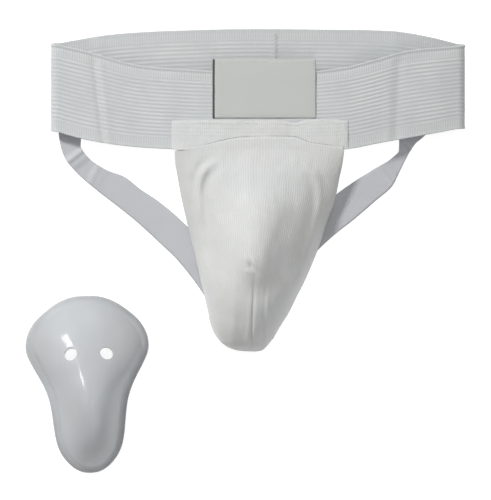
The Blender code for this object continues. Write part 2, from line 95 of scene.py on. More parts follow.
RIGHT_OUTER = [(158.5, 118.0), (158.0, 104.0), (146.0, 92.0), (139.0, 80.0), (134.0, 70.0), (127.0, 56.5),
               (113.5, 44.5), (95.5, 29.0), (75.5, 13.0), (60.0, -2.0), (44.0, -26.0), (24.0, -76.0)]


def curve(table, at):
    """Smooth value of a (key, value) table at a key or an array of keys."""
    keys = np.array([row[0] for row in table], float)
    values = np.array([row[1] for row in table], float)
    slopes = np.gradient(values, keys)
    at = np.clip(np.asarray(at, float), keys[0], keys[-1])
    i = np.clip(np.searchsorted(keys, at) - 1, 0, len(keys) - 2)
    h = keys[i + 1] - keys[i]
    s = (at - keys[i]) / h
    secant = (values[i + 1] - values[i]) / h
    m0 = np.where(secant * slopes[i] <= 0, 0, slopes[i])
    m1 = np.where(secant * slopes[i + 1] <= 0, 0, slopes[i + 1])
    m0 = np.clip(m0, -3 * np.abs(secant), 3 * np.abs(secant))
    m1 = np.clip(m1, -3 * np.abs(secant), 3 * np.abs(secant))
    a = 2 * s**3 - 3 * s**2 + 1
    b = s**3 - 2 * s**2 + s
    c = -2 * s**3 + 3 * s**2
    d = s**3 - s**2
    return a * values[i] + b * h * m0 + c * values[i + 1] + d * h * m1


def rail(points, count):
    """Evenly spaced points along a smooth line through the given points."""
    p = np.array(points, float)
    run = np.concatenate([[0], np.cumsum(np.linalg.norm(np.diff(p, axis=0), axis=1))])
    at = np.linspace(0, run[-1], count)
    return np.stack([curve(list(zip(run, p[:, k])), at) for k in range(p.shape[1])], axis=1)


def bump(x, centre, width):
    """A smooth bell of height 1."""
    return np.exp(-(((np.asarray(x, float) - centre) / width) ** 2))


def wave(points, scale, seed=0.0):
    """Smooth irregular values from -1 to 1 at points in millimetres."""
    flat = np.asarray(points, float).reshape(-1, 3)
    values = [noise.noise(Vector((x / scale + seed, y / scale - seed, z / scale))) for x, y, z in flat]
    return np.array(values).reshape(np.asarray(points).shape[:-1])


def build(name, verts, faces, uvs=None):
    """Mesh object from millimetre points; uvs gives each vertex its place on the cloth, in millimetres."""
    mesh = bpy.data.meshes.new(name)
    verts = np.asarray(verts, float) * MM
    mesh.from_pydata(verts.tolist(), [], [list(map(int, f)) for f in faces])
    if uvs is not None:
        layer = mesh.uv_layers.new(name="cloth")
        corner = np.zeros(len(mesh.loops), int)
        mesh.loops.foreach_get("vertex_index", corner)
        layer.data.foreach_set("uv", (np.asarray(uvs, float)[corner] * MM).ravel())
    mesh.polygons.foreach_set("use_smooth", [True] * len(mesh.polygons))
    made = bpy.data.objects.new(name, mesh)
    bpy.context.scene.collection.objects.link(made)
    return made


def face_outward(made):
    """Turn every face of a closed mesh outward."""
    work = bmesh.new()
    work.from_mesh(made.data)
    bmesh.ops.recalc_face_normals(work, faces=work.faces)
    work.to_mesh(made.data)
    work.free()


def normals_of(grid, wrap):
    du = np.roll(grid, -1, axis=1) - np.roll(grid, 1, axis=1) if wrap else np.gradient(grid, axis=1)
    n = np.cross(du, np.gradient(grid, axis=0))
    return n / np.maximum(np.linalg.norm(n, axis=2, keepdims=True), 1e-9)


def sheet(name, grid, thickness, uv, wrap=False, outward=1, front=0.0, back=0.0):
    """A closed sheet whose middle is the grid; front and back are extra relief heights over each face."""
    g = np.asarray(grid, float)
    rows, cols = g.shape[:2]
    if wrap:
        g = np.concatenate([g, g[:, :1]], axis=1)
        n = normals_of(g[:, :-1], True)
        n = np.concatenate([n, n[:, :1]], axis=1)
        front = front if np.isscalar(front) else np.concatenate([front, front[:, :1]], axis=1)
        back = back if np.isscalar(back) else np.concatenate([back, back[:, :1]], axis=1)
        cols += 1
    else:
        n = normals_of(g, False)
    n = n * outward
    lift = np.broadcast_to(np.asarray(front, float), g.shape[:2])[..., None]
    drop = np.broadcast_to(np.asarray(back, float), g.shape[:2])[..., None]
    top = (g + n * (thickness / 2 + lift)).reshape(-1, 3)
    low = (g - n * (thickness / 2 + drop)).reshape(-1, 3)
    half = rows * cols
    index = np.arange(half).reshape(rows, cols)
    a, b, c, d = index[:-1, :-1], index[:-1, 1:], index[1:, 1:], index[1:, :-1]
    quads = np.stack([a, b, c, d], axis=-1).reshape(-1, 4)
    faces = [quads if outward > 0 else quads[:, ::-1], (quads[:, ::-1] if outward > 0 else quads) + half]
    if wrap:
        loops = [index[0], index[-1][::-1]]
    else:
        loops = [np.concatenate([index[0], index[1:, -1], index[-1][::-1][1:], index[:, 0][::-1][1:]])]
    for loop in loops:
        rim = np.stack([loop[:-1], loop[:-1] + half, loop[1:] + half, loop[1:]], axis=-1)
        faces.append(rim if outward > 0 else rim[:, ::-1])
    made = build(name, np.concatenate([top, low]), np.concatenate(faces), np.concatenate([uv, uv]))
    if wrap:
        work = bmesh.new()
        work.from_mesh(made.data)
        bmesh.ops.remove_doubles(work, verts=work.verts, dist=1e-7)
        work.to_mesh(made.data)
        work.free()
    return made


def cloth_uv(grid, wrap=False):
    """Millimetres along the columns and down the rows of a grid."""
    g = np.asarray(grid, float)
    if wrap:
        g = np.concatenate([g, g[:, :1]], axis=1)
    across = np.linalg.norm(np.diff(g, axis=1), axis=2).mean(axis=0)
    down = np.linalg.norm(np.diff(g, axis=0), axis=2).mean(axis=1)
    u = np.concatenate([[0], np.cumsum(across)])
    v = np.concatenate([[0], np.cumsum(down)])
    return np.stack(np.meshgrid(u, v), axis=-1).reshape(-1, 2)


# ---------------------------------------------------------------- materials
class Graph:
    """Short hand for building a node tree."""

    def __init__(self, name, colour, roughness, **settings):
        self.material = bpy.data.materials.new(name)
        self.material.use_nodes = True
        self.tree = self.material.node_tree
        self.shader = self.tree.nodes["Principled BSDF"]
        self.shader.inputs["Base Color"].default_value = (*colour, 1)
        self.shader.inputs["Roughness"].default_value = roughness
        for key, value in settings.items():
            self.shader.inputs[key.replace("_", " ")].default_value = value

    def link(self, a, b):
        self.tree.links.new(a, b)

    def put(self, socket, value):
        if hasattr(value, "is_output"):
            self.link(value, socket)
        else:
            socket.default_value = value

    def math(self, kind, a, b=0.0, c=None):
        node = self.tree.nodes.new("ShaderNodeMath")
        node.operation = kind
        self.put(node.inputs[0], a)
        self.put(node.inputs[1], b)
        if c is not None:
            self.put(node.inputs[2], c)
        return node.outputs[0]

    def cloth(self):
        """Place on the cloth in millimetres: along, down."""
        node = self.tree.nodes.new("ShaderNodeUVMap")
        node.uv_map = "cloth"
        split = self.tree.nodes.new("ShaderNodeSeparateXYZ")
        self.link(node.outputs[0], split.inputs[0])
        along = self.math("MULTIPLY", split.outputs[0], 1000.0)
        return along, self.math("MULTIPLY", split.outputs[1], 1000.0)

    def noise(self, scale, detail=3.0):
        node = self.tree.nodes.new("ShaderNodeTexNoise")
        node.inputs["Scale"].default_value = scale
        node.inputs["Detail"].default_value = detail
        place = self.tree.nodes.new("ShaderNodeTexCoord")
        self.link(place.outputs["Object"], node.inputs["Vector"])
        return node.outputs["Fac"]

    def ramp(self, value, low, high, start=0.0, end=1.0):
        """low to high while value goes from start to end."""
        node = self.tree.nodes.new("ShaderNodeMapRange")
        self.put(node.inputs[0], value)
        for slot, number in zip(range(1, 5), (start, end, low, high)):
            node.inputs[slot].default_value = number
        return node.outputs[0]

    def mix(self, factor, a, b):
        node = self.tree.nodes.new("ShaderNodeMix")
        node.data_type = "RGBA"
        self.put(node.inputs[0], factor)
        node.inputs[6].default_value = (*a, 1) if not hasattr(a, "is_output") else (0, 0, 0, 1)
        node.inputs[7].default_value = (*b, 1)
        if hasattr(a, "is_output"):
            self.link(a, node.inputs[6])
        return node.outputs[2]

    def bump(self, height, strength, distance):
        node = self.tree.nodes.new("ShaderNodeBump")
        node.inputs["Strength"].default_value = strength
        node.inputs["Distance"].default_value = distance
        self.link(height, node.inputs["Height"])
        self.link(node.outputs[0], self.shader.inputs["Normal"])

    def colour(self, value):
        self.link(value, self.shader.inputs["Base Color"])

    def rough(self, value):
        self.link(value, self.shader.inputs["Roughness"])


def stripes(g, coordinate, pitch, phase=0.0):
    """0 to 1 ridges with the given pitch in millimetres."""
    turned = g.math("MULTIPLY_ADD", coordinate, 2 * math.pi / pitch, phase)
    return g.math("MULTIPLY_ADD", g.math("SINE", turned), 0.5, 0.5)


def elastic_material():
    """Band: vertical wales along both edges, patchy raised courses between them, pale fibres."""
    g = Graph("knitted_elastic", (0.56, 0.58, 0.58), 0.85, Sheen_Weight=0.2, Sheen_Roughness=0.4,
              Specular_IOR_Level=0.2)
    u, v = g.cloth()
    drift = g.noise(70.0, 2.0)
    wales = stripes(g, g.math("MULTIPLY_ADD", drift, 1.6, u), 2.05)
    ribs = stripes(g, v, RIB_PITCH, -2 * math.pi * RIB_START / RIB_PITCH - math.pi / 2)
    loops = stripes(g, u, 1.3)
    fibre = g.noise(900.0, 4.0)
    soft = g.noise(26.0, 3.0)
    patch = g.noise(38.0, 4.0)
    centre = g.math("MULTIPLY", g.ramp(v, 0.0, 1.0, 9.0, 11.0), g.ramp(v, 1.0, 0.0, 65.5, 67.5))
    edge = g.math("SUBTRACT", 1.0, centre)
    strength = g.ramp(patch, 0.3, 1.0, 0.38, 0.62)
    courses = g.math("MULTIPLY", g.math("MULTIPLY", ribs, centre), strength)
    knit = g.math("MULTIPLY_ADD", g.math("MULTIPLY", wales, edge), 0.8, courses)
    knit = g.math("MULTIPLY_ADD", g.math("MULTIPLY", loops, ribs), 0.16, knit)
    tone = g.mix(g.ramp(knit, 0.0, 1.0, 0.0, 1.0), (0.475, 0.49, 0.495), (0.575, 0.59, 0.585))
    tone = g.mix(g.ramp(soft, 0.0, 0.4, 0.42, 0.72), tone, (0.50, 0.52, 0.535))
    g.colour(g.mix(g.ramp(fibre, 0.0, 0.3, 0.45, 0.8), tone, (0.62, 0.625, 0.61)))
    g.rough(g.ramp(fibre, 0.75, 0.95, 0.3, 0.7))
    g.bump(g.math("MULTIPLY_ADD", fibre, 0.5, knit), 0.35, 0.0004)
    return g.material


def cotton_material():
    """Rib knit: fine vertical ribs, stronger in patches, with fuzz."""
    g = Graph("rib_knit_cotton", (0.67, 0.68, 0.65), 0.9, Sheen_Weight=0.3, Sheen_Roughness=0.5,
              Specular_IOR_Level=0.2)
    u, v = g.cloth()
    wobble = g.noise(60.0, 2.0)
    ribs = stripes(g, g.math("MULTIPLY_ADD", wobble, 2.2, u), 1.75)
    loops = stripes(g, g.math("MULTIPLY_ADD", wobble, 1.5, v), 1.9)
    fibre = g.noise(900.0, 4.0)
    soft = g.noise(24.0, 3.0)
    patch = g.noise(50.0, 3.0)
    strength = g.ramp(patch, 0.3, 1.0, 0.35, 0.65)
    knit = g.math("MULTIPLY_ADD", loops, 0.12, g.math("MULTIPLY", ribs, strength))
    knit = g.math("MULTIPLY_ADD", fibre, 1.0, knit)
    tone = g.mix(g.ramp(knit, 0.0, 1.0, 0.4, 1.7), (0.545, 0.555, 0.54), (0.68, 0.68, 0.66))
    g.colour(g.mix(g.ramp(soft, 0.0, 0.45, 0.42, 0.72), tone, (0.58, 0.595, 0.62)))
    g.rough(g.ramp(fibre, 0.8, 0.98, 0.3, 0.7))
    g.bump(knit, 0.4, 0.0003)
    return g.material


def strap_material():
    """Smooth woven elastic: fine cords along it and picks across it."""
    g = Graph("woven_elastic", (0.58, 0.58, 0.62), 0.55, Sheen_Weight=0.15, Sheen_Roughness=0.4,
              Specular_IOR_Level=0.35)
    u, v = g.cloth()
    cords = stripes(g, v, 1.25)
    picks = stripes(g, u, 0.8)
    fibre = g.noise(800.0, 3.0)
    soft = g.noise(30.0, 3.0)
    weave = g.math("MULTIPLY_ADD", picks, 0.4, cords)
    tone = g.mix(g.ramp(weave, 0.0, 1.0, 0.0, 1.3), (0.43, 0.435, 0.46), (0.52, 0.525, 0.55))
    g.colour(g.mix(g.ramp(soft, 0.0, 0.3, 0.4, 0.75), tone, (0.50, 0.52, 0.53)))
    g.rough(g.ramp(fibre, 0.45, 0.7, 0.3, 0.7))
    g.bump(weave, 0.3, 0.0002)
    return g.material


def label_material():
    """Plain weave, with a painted shadow as a dark stripe along its left edge."""
    g = Graph("woven_label", (0.53, 0.55, 0.52), 0.7, Sheen_Weight=0.1, Specular_IOR_Level=0.3)
    u, v = g.cloth()
    weft = stripes(g, v, 0.9)
    warp = stripes(g, u, 0.9)
    fibre = g.noise(900.0, 3.0)
    weave = g.math("MULTIPLY", weft, warp)
    tone = g.mix(weave, (0.455, 0.47, 0.45), (0.50, 0.515, 0.49))
    # painted shadow: a near-black stripe 1.9 mm wide along the label's left edge
    stripe = g.math("LESS_THAN", u, 1.9)
    g.colour(g.mix(g.math("MULTIPLY", stripe, 0.93), tone, (0.03, 0.03, 0.035)))
    g.rough(g.ramp(fibre, 0.62, 0.8, 0.3, 0.7))
    g.bump(weave, 0.2, 0.0001)
    return g.material


def thread_material(name, colour):
    g = Graph(name, colour, 0.7, Sheen_Weight=0.2, Specular_IOR_Level=0.3)
    twist = g.noise(1500.0, 2.0)
    g.colour(g.mix(twist, tuple(c * 0.85 for c in colour), colour))
    g.bump(twist, 0.4, 0.0002)
    return g.material


def cup_material():
    """Glossy moulded plastic, with painted shade darkening it toward its outline, most at the right and the
    bottom.
    """
    g = Graph("moulded_plastic", (0.52, 0.535, 0.55), 0.25, Coat_Weight=0.08, Coat_Roughness=0.09,
              Specular_IOR_Level=0.12, Subsurface_Weight=0.6, Subsurface_Scale=0.012)
    g.shader.inputs["Subsurface Radius"].default_value = (1.0, 1.0, 1.0)
    soft = g.noise(14.0, 2.0)
    fine = g.noise(300.0, 3.0)
    edge = g.tree.nodes.new("ShaderNodeAttribute")
    edge.attribute_name = "edge"
    tone = g.mix(g.ramp(soft, 0.0, 1.0, 0.35, 0.7), (0.365, 0.372, 0.38), (0.43, 0.45, 0.47))
    # painted shade: the "edge" attribute mixes a dark grey into the plastic near the cup's outline
    g.colour(g.mix(edge.outputs["Fac"], tone, (0.13, 0.131, 0.136)))
    g.rough(g.ramp(fine, 0.42, 0.5, 0.3, 0.7))
    g.bump(g.math("MULTIPLY_ADD", fine, 0.04, soft), 0.06, 0.0012)
    return g.material


ELASTIC = elastic_material()
COTTON = cotton_material()
STRAP = strap_material()
LABEL = label_material()
THREAD = thread_material("white_thread", (0.70, 0.70, 0.68))
BAND_THREAD = thread_material("band_thread", (0.60, 0.61, 0.61))
# the arch seam's thread is dark grey: painted shadow under the yoke's edge, laid on a real stitch line
SEAM_SHADOW = thread_material("seam_shadow_thread", (0.40, 0.42, 0.42))
CUP = cup_material()


def place(piece, body, slot, material, *nodes):
    """Give a piece its material, its body and the CAD nodes it stands for."""
    piece.data.materials.clear()
    piece.data.materials.append(material)
    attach(piece, body)
    if nodes:
        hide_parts(*nodes)
    return piece


# ---------------------------------------------------------------- waistband
def front_z(x, v):
    """Height of the front panel's middle surface: highest at mid width, v runs from its top edge down."""
    flat = BAND_T / 2 + 2 * FOLD_R
    rise = np.clip(1 - ((np.asarray(x, float) - 11.0) / 172.0) ** 2, 0, 1) ** 1.3
    top = flat + (FRONT_TOP_Z - flat) * rise
    low = flat + (FRONT_LOW_Z - flat) * rise
    return top + (low - top) * v


def band_grid(rows, across, around):
    """Middle surface of the loop: back panel, right fold, front panel, left fold."""
    left = BAND_LEFT + FOLD_R + BAND_T / 2
    right = BAND_RIGHT - FOLD_R - BAND_T / 2
    v = np.linspace(0, 1, rows)[:, None]
    turn = np.linspace(0, math.pi, around + 2)[1:-1]

    def panel(x, which):
        top, low = (BACK_TOP, BACK_LOW) if which == "back" else (FRONT_TOP, FRONT_LOW)
        y = curve(top, x)[None, :] * (1 - v) + curve(low, x)[None, :] * v
        z = np.full(y.shape, BAND_T / 2) if which == "back" else front_z(x[None, :], v)
        return np.stack([np.broadcast_to(x[None, :], y.shape), y, z], axis=2)

    def fold(x, sign):
        xs = np.full(around, x)
        back, front = panel(xs, "back"), panel(xs, "front")
        share = ((1 - np.cos(turn)) / 2)[None, :, None]
        if sign < 0:
            share = 1 - share
        mixed = back * (1 - share) + front * share
        mixed[..., 0] = x + sign * FOLD_R * np.sin(turn)[None, :]
        return mixed

    xs = np.linspace(left, right, across)
    loop = [panel(xs, "back"), fold(right, 1), panel(xs[::-1], "front"), fold(left, -1)]
    return np.concatenate(loop, axis=1)


def band_relief(down, x):
    """Relief of the knit: rolled lips, edge bands and raised courses between them."""
    height = BAND_HEIGHT
    spot = np.stack([x * 0.6, down, x * 0], axis=2)
    courses = 0.5 - 0.5 * np.cos((down - RIB_START) / RIB_PITCH * 2 * math.pi + 0.5 * wave(spot, 33.0, 14.0))
    inside = np.clip((down - 9.5) / 1.2, 0, 1) * np.clip((height - 10.0 - down) / 1.2, 0, 1)
    relief = (0.22 + 0.13 * wave(spot, 21.0, 15.0)) * courses * inside
    relief += 0.75 * bump(down, 0.9, 1.1) + 0.4 * bump(down, height - 0.9, 1.1)
    relief -= 0.25 * bump(down, 3.4, 0.9)
    return relief


BAND_ROWS, BAND_ACROSS, BAND_AROUND = 150, 170, 12
band = band_grid(BAND_ROWS, BAND_ACROSS, BAND_AROUND)
down = np.linspace(0, BAND_HEIGHT, BAND_ROWS)[:, None] * np.ones((1, band.shape[1]))
is_front = np.zeros(band.shape[1], bool)
is_front[BAND_ACROSS + BAND_AROUND:2 * BAND_ACROSS + BAND_AROUND] = True
x_all = band[..., 0]
v_all = down / BAND_HEIGHT
front_lift = 1.1 * wave(np.stack([x_all, band[..., 1] * 0.35, x_all * 0], axis=2), 34.0, 3.0)
front_lift += 0.8 * bump(x_all, -126.0 + 9 * v_all, 3.0) - 1.5 * bump(x_all, -131.5 + 9 * v_all, 2.6)
front_lift += 0.5 * bump(x_all, 126.0 - 3 * v_all, 4.5) - 0.9 * bump(x_all, 132.5 - 3 * v_all, 4.5)
front_lift += 0.9 * bump(x_all + 0.9 * (band[..., 1] - 146), -91.0, 6.0) * bump(band[..., 1], 138.0, 17.0)
front_lift *= np.clip((v_all - 0.02) * 12, 0.25, 1)
back_lift = 0.5 + 0.5 * wave(np.stack([x_all, band[..., 1] * 0.3, x_all * 0], axis=2), 30.0, 7.0)
back_lift += 0.4 * bump(x_all, -127.0, 5.0) + 0.4 * bump(x_all, 129.0, 5.0)
ends = np.clip(np.minimum(x_all - BAND_LEFT - 7, BAND_RIGHT - 7 - x_all) / 18.0, 0, 1)
band[..., 2] += np.where(is_front[None, :], front_lift, np.clip(back_lift, 0, 1.2)) * ends
relief = band_relief(down, x_all)
inner_relief = relief * 0.8
outer_relief = relief * np.where(band[..., 2] < 6.0, 0.15, 1.0)
band_uv = cloth_uv(band, True)
band_uv[:, 1] = np.repeat(down[:, 0], band.shape[1] + 1)
waistband = sheet("waistband_knit", band, 1.2, band_uv, wrap=True, outward=-1, front=outer_relief,
                  back=inner_relief)
place(waistband, "supporter", "elastic", ELASTIC, "waistband")


def on_front(x, y, lift):
    """Point above the front panel's outer face."""
    x, y = np.asarray(x, float), np.asarray(y, float)
    top, low = curve(FRONT_TOP, x), curve(FRONT_LOW, x)
    v = (top - y) / (top - low)
    return np.stack([x, y, front_z(x, v) + BAND_T / 2 + lift], axis=-1)


def grid_of(x0, x1, y0, y1, nx, ny):
    return np.meshgrid(np.linspace(x0, x1, nx), np.linspace(y0, y1, ny))


# ---------------------------------------------------------------- threads
def stitches(name, path, ups, length, gap, width, height):
    """Separate stitches along a path of points: each a short rounded bead lying on the cloth."""
    path, ups = np.asarray(path, float), np.asarray(ups, float)
    run = np.concatenate([[0], np.cumsum(np.linalg.norm(np.diff(path, axis=0), axis=1))])
    count = max(int(run[-1] / (length + gap)), 1)
    step = run[-1] / count
    verts, faces = [], []
    for k in range(count):
        start = k * step + gap / 2
        at = np.linspace(start, start + step - gap, 5)
        line = np.stack([np.interp(at, run, path[:, i]) for i in range(3)], axis=1)
        up = np.stack([np.interp(at, run, ups[:, i]) for i in range(3)], axis=1)
        up /= np.linalg.norm(up, axis=1, keepdims=True)
        along = np.gradient(line, axis=0)
        side = np.cross(along, up)
        side /= np.maximum(np.linalg.norm(side, axis=1, keepdims=True), 1e-9)
        base = len(verts)
        for i in range(5):
            swell = (0.35, 0.9, 1.0, 0.9, 0.35)[i]
            sink = (-0.25, 0.1, 0.2, 0.1, -0.25)[i] * height
            for a in range(6):
                turn = 2 * math.pi * a / 6
                verts.append(line[i] + side[i] * math.cos(turn) * width / 2 * swell
                             + up[i] * (math.sin(turn) * height / 2 * swell + sink))
        for low in range(base, base + 24, 6):
            for a in range(6):
                b = (a + 1) % 6
                faces.append([low + a, low + b, low + 6 + b, low + 6 + a])
        faces.append([base + a for a in range(5, -1, -1)])
        faces.append([base + 24 + a for a in range(6)])
    return build(name, verts, faces)


# ---------------------------------------------------------------- label
lx, ly = LABEL_CENTRE
lw, lh = LABEL_SIZE
gx, gy = grid_of(lx - lw / 2, lx + lw / 2, ly + lh / 2, ly - lh / 2, 90, 52)
edge = np.minimum(np.minimum(gx - gx.min(), gx.max() - gx), np.minimum(gy - gy.min(), gy.max() - gy))
label_grid = on_front(gx, gy, 0.6)
label_grid[..., 2] += (-0.45 * np.exp(-edge / 0.7) - 0.25 * bump(edge, 2.2, 0.6)
                       + 0.25 * wave(label_grid, 18.0, 5.0))
label = sheet("label_cloth", label_grid, 0.5, cloth_uv(label_grid))
place(label, "supporter", "label", LABEL, "label_patch")
half_w, half_h = lw / 2 - 2.2, lh / 2 - 2.2
corner = [(lx - half_w, ly + half_h), (lx + half_w, ly + half_h),
          (lx + half_w, ly - half_h), (lx - half_w, ly - half_h)]
path = []
for (ax, ay), (bx, by) in zip(corner, corner[1:] + corner[:1]):
    path += [(ax + (bx - ax) * s, ay + (by - ay) * s) for s in np.linspace(0, 1, 30, endpoint=False)]
path = np.array(path + path[:1])
label_thread = stitches("label_stitches", on_front(path[:, 0], path[:, 1], 0.8), [(0, 0, 1)] * len(path),
                        1.9, 0.7, 0.5, 0.4)
place(label_thread, "supporter", "thread", THREAD, "label_stitching")


# ---------------------------------------------------------------- yoke
ARCH = [(-60.0, 87.9), (-50.0, 89.0), (-37.5, 91.0), (-24.6, 94.4), (-8.2, 97.9), (3.9, 98.8), (25.4, 99.2),
        (44.0, 98.4), (53.0, 94.6), (69.4, 91.8), (84.9, 90.3)]
yx, yv = grid_of(-63.5, 88.5, 0, 1, 260, 90)
y_top = YOKE_TOP - 0.6 + 1.3 * wave(np.stack([yx, yx * 0, yx * 0], axis=2), 26.0, 6.0)
y_top += 0.9 * bump(yx, 66.0, 16.0) - 2.0 * bump(yx, 42.7, 6.0)
y_low = curve(FRONT_LOW, yx) - 0.4
yy = y_top * (1 - yv) + y_low * yv
yoke_grid = on_front(yx, yy, 0.95)
band_down = BAND_HEIGHT * (curve(FRONT_TOP, yx) - yy) / (curve(FRONT_TOP, yx) - curve(FRONT_LOW, yx))
ribs_below = np.cos((band_down - RIB_START) / RIB_PITCH * 2 * math.pi)
yoke_grid[..., 2] -= 0.05 * ribs_below * np.clip((68 - band_down) / 3, 0, 1)
yoke_grid[..., 2] += 0.6 * wave(yoke_grid, 17.0, 11.0) + 0.3 * wave(yoke_grid, 6.0, 12.0)
yoke_edge = np.minimum(np.minimum(yx - yx.min(), yx.max() - yx), y_top - yy)
yoke_grid[..., 2] -= 0.75 * np.exp(-yoke_edge / 1.6)
yoke = sheet("yoke_cloth", yoke_grid, 0.6, cloth_uv(yoke_grid))
place(yoke, "supporter", "cotton", COTTON, "pouch_yoke")
tx = np.linspace(-61.5, 86.5, 90)
top_path = on_front(tx, np.interp(tx, yx[0], y_top[0]) - 2.6, 1.25)
top_thread = stitches("yoke_top_stitches", top_path, [(0, 0, 1)] * 90, 2.0, 0.9, 0.4, 0.35)
place(top_thread, "supporter", "thread", THREAD, "yoke_top_stitching")


# ---------------------------------------------------------------- cup
CUP_CENTRE = np.array([0.0, CUP_APEX])
CUP_AROUND, BOWL_RINGS, RIM_RINGS = 144, 44, 12
CUP_EDGE_T = 0.8


def cup_height(s, t):
    """Height of the bowl's outer face over the flange."""
    half = np.maximum(curve(CUP_OUTLINE, t) - 4.6, 0.1)
    deep = np.maximum(curve(CUP_DEPTH, t), 0)
    share = np.clip(np.abs(s) / half, 0, 1)
    low_part = np.clip((np.asarray(t, float) - 50) / 50, 0, 1)
    return deep * (1 - share ** (2.0 + 0.2 * low_part)) ** (0.78 - 0.08 * low_part)


def cup_to_row(points, top, lean, base):
    """Cup points (across, down from its top edge, up) in the row frame, in millimetres."""
    p = np.array(points, float)
    x = top[0] + p[:, 0] * math.cos(lean) - p[:, 1] * math.sin(lean)
    y = top[1] - p[:, 1] * math.cos(lean) - p[:, 0] * math.sin(lean)
    return np.stack([x, y, p[:, 2] + base], axis=1)


def cup_edge():
    """Evenly spaced points round the cup's outline, and the inward direction at each."""
    ts = np.linspace(0, CUP_LENGTH, 400)
    ws = curve(CUP_OUTLINE, ts)
    ws[-1] = 0.0
    loop = np.concatenate([np.column_stack([-ws, ts]), np.column_stack([ws[::-1], ts[::-1]])[1:]])
    loop = np.concatenate([loop, loop[:1]])
    run = np.concatenate([[0], np.cumsum(np.linalg.norm(np.diff(loop, axis=0), axis=1))])
    at = np.linspace(0, run[-1], CUP_AROUND, endpoint=False)
    edge = np.stack([np.interp(at, run, loop[:, k]) for k in (0, 1)], axis=1)
    for _ in range(2):
        edge = edge * 0.5 + (np.roll(edge, 1, axis=0) + np.roll(edge, -1, axis=0)) * 0.25
    along = np.roll(edge, -1, axis=0) - np.roll(edge, 1, axis=0)
    inward = np.stack([along[:, 1], -along[:, 0]], axis=1)
    inward /= np.linalg.norm(inward, axis=1, keepdims=True)
    inward *= np.sign(((CUP_CENTRE - edge) * inward).sum(axis=1, keepdims=True))
    return edge, inward


def cup_face(edge, inward):
    """Rings of the outer face, from round the apex to the edge, and the apex's height."""
    rim = 7.2 - 1.6 * np.clip((edge[:, 1] - 50) / 40, 0, 1)
    foot = edge + inward * rim[:, None]
    field = []
    for q in np.linspace(0, 1, BOWL_RINGS)[1:]:
        share = 1 - (1 - q) ** 1.45
        ring = CUP_CENTRE + (foot - CUP_CENTRE) * share
        bowl = cup_height(ring[:, 0], ring[:, 1]) * math.sqrt(1 - min(share, 1.0) ** 16)
        field.append(np.column_stack([ring, bowl + RIM_HIGH * np.clip(1 - bowl / 25.0, 0, 1)]))
    for q in np.linspace(0, 1, RIM_RINGS + 1)[1:]:
        near = 1 - q
        ring = edge + inward * (rim * near)[:, None]
        high = RIM_HIGH * (0.5 * math.sqrt(max(1 - (1 - near) ** 2, 0.0)) + 0.5 * near)
        field.append(np.column_stack([ring, np.full(CUP_AROUND, high)]))
    field = np.array(field)
    z = field[..., 2]
    peak = float(cup_height(0.0, CUP_APEX))
    flat_edge = z[-4:].copy()
    for _ in range(14):
        inner = np.concatenate([np.full((1, CUP_AROUND), peak), z[:-2]])
        beside = np.roll(z[:-1], 1, axis=1) + np.roll(z[:-1], -1, axis=1)
        z[:-1] = z[:-1] * 0.5 + 0.125 * (inner + z[1:] + beside)
        z[-4:] = flat_edge
        peak = peak * 0.5 + z[0].mean() * 0.5
    return field, peak


def ring_faces(layers, last_vertex):
    """Faces between rings of CUP_AROUND points, closed by the first and the last vertex."""
    faces = []
    last = 1 + (layers - 1) * CUP_AROUND
    for c in range(CUP_AROUND):
        d = (c + 1) % CUP_AROUND
        faces.append([0, 1 + d, 1 + c])
        faces.append([last_vertex, last + c, last + d])
    for a in range(1, last, CUP_AROUND):
        for c in range(CUP_AROUND):
            d = (c + 1) % CUP_AROUND
            faces.append([a + c, a + d, a + CUP_AROUND + d, a + CUP_AROUND + c])
    return faces


def drill_vent(made, s, top, lean, base, aside):
    """Cut one vent square to the bowl."""
    height = float(cup_height(s, VENT_T)) + CUP_T
    ds = float(cup_height(s + 1, VENT_T) - cup_height(s - 1, VENT_T)) / 2
    dt = float(cup_height(s, VENT_T + 1) - cup_height(s, VENT_T - 1)) / 2
    n = np.array([-ds, -dt, 1.0])
    n /= np.linalg.norm(n)
    mid = np.array([s + height * aside, VENT_T, height - CUP_T / 2])
    ends = cup_to_row([mid - n * 8, mid + n * 8], top, lean, base)
    bpy.ops.mesh.primitive_cylinder_add(vertices=48, radius=VENT_D / 2 * MM, depth=16 * MM,
                                        location=tuple((ends[0] + ends[1]) / 2 * MM))
    drill = bpy.context.object
    drill.rotation_mode = "QUATERNION"
    aim = Vector(ends[1] - ends[0]).normalized()
    drill.rotation_quaternion = Vector((0, 0, 1)).rotation_difference(aim)
    cutting = made.modifiers.new("vent", "BOOLEAN")
    cutting.object = drill
    cutting.solver = "EXACT"
    bpy.context.view_layer.objects.active = made
    bpy.ops.object.modifier_apply(modifier=cutting.name)
    bpy.data.objects.remove(drill, do_unlink=True)


def paint_edge_shade(made, line):
    """Attribute "edge": painted shade near the outline, strongest at the right and the bottom."""
    spots = np.array([v.co for v in made.data.vertices])[:, :2] / MM
    gap = np.hypot(spots[:, None, 0] - line[None, :, 0], spots[:, None, 1] - line[None, :, 1])
    away = line[gap.argmin(axis=1)] - line.mean(axis=0)
    # painted shade leans toward the right and the bottom, the sides turned away from the key lamp
    shade = 0.62 + 0.38 * (0.9 * away[:, 0] - 0.43 * away[:, 1]) / np.linalg.norm(away, axis=1)
    gap = gap.min(axis=1)
    near = np.exp(-(gap / 2.8) ** 1.6) + 0.25 * np.exp(-(gap / 9.0) ** 2)
    kept = made.data.attributes.new("edge", "FLOAT", "POINT")
    kept.data.foreach_set("value", np.clip(0.75 * shade * near, 0, 1))


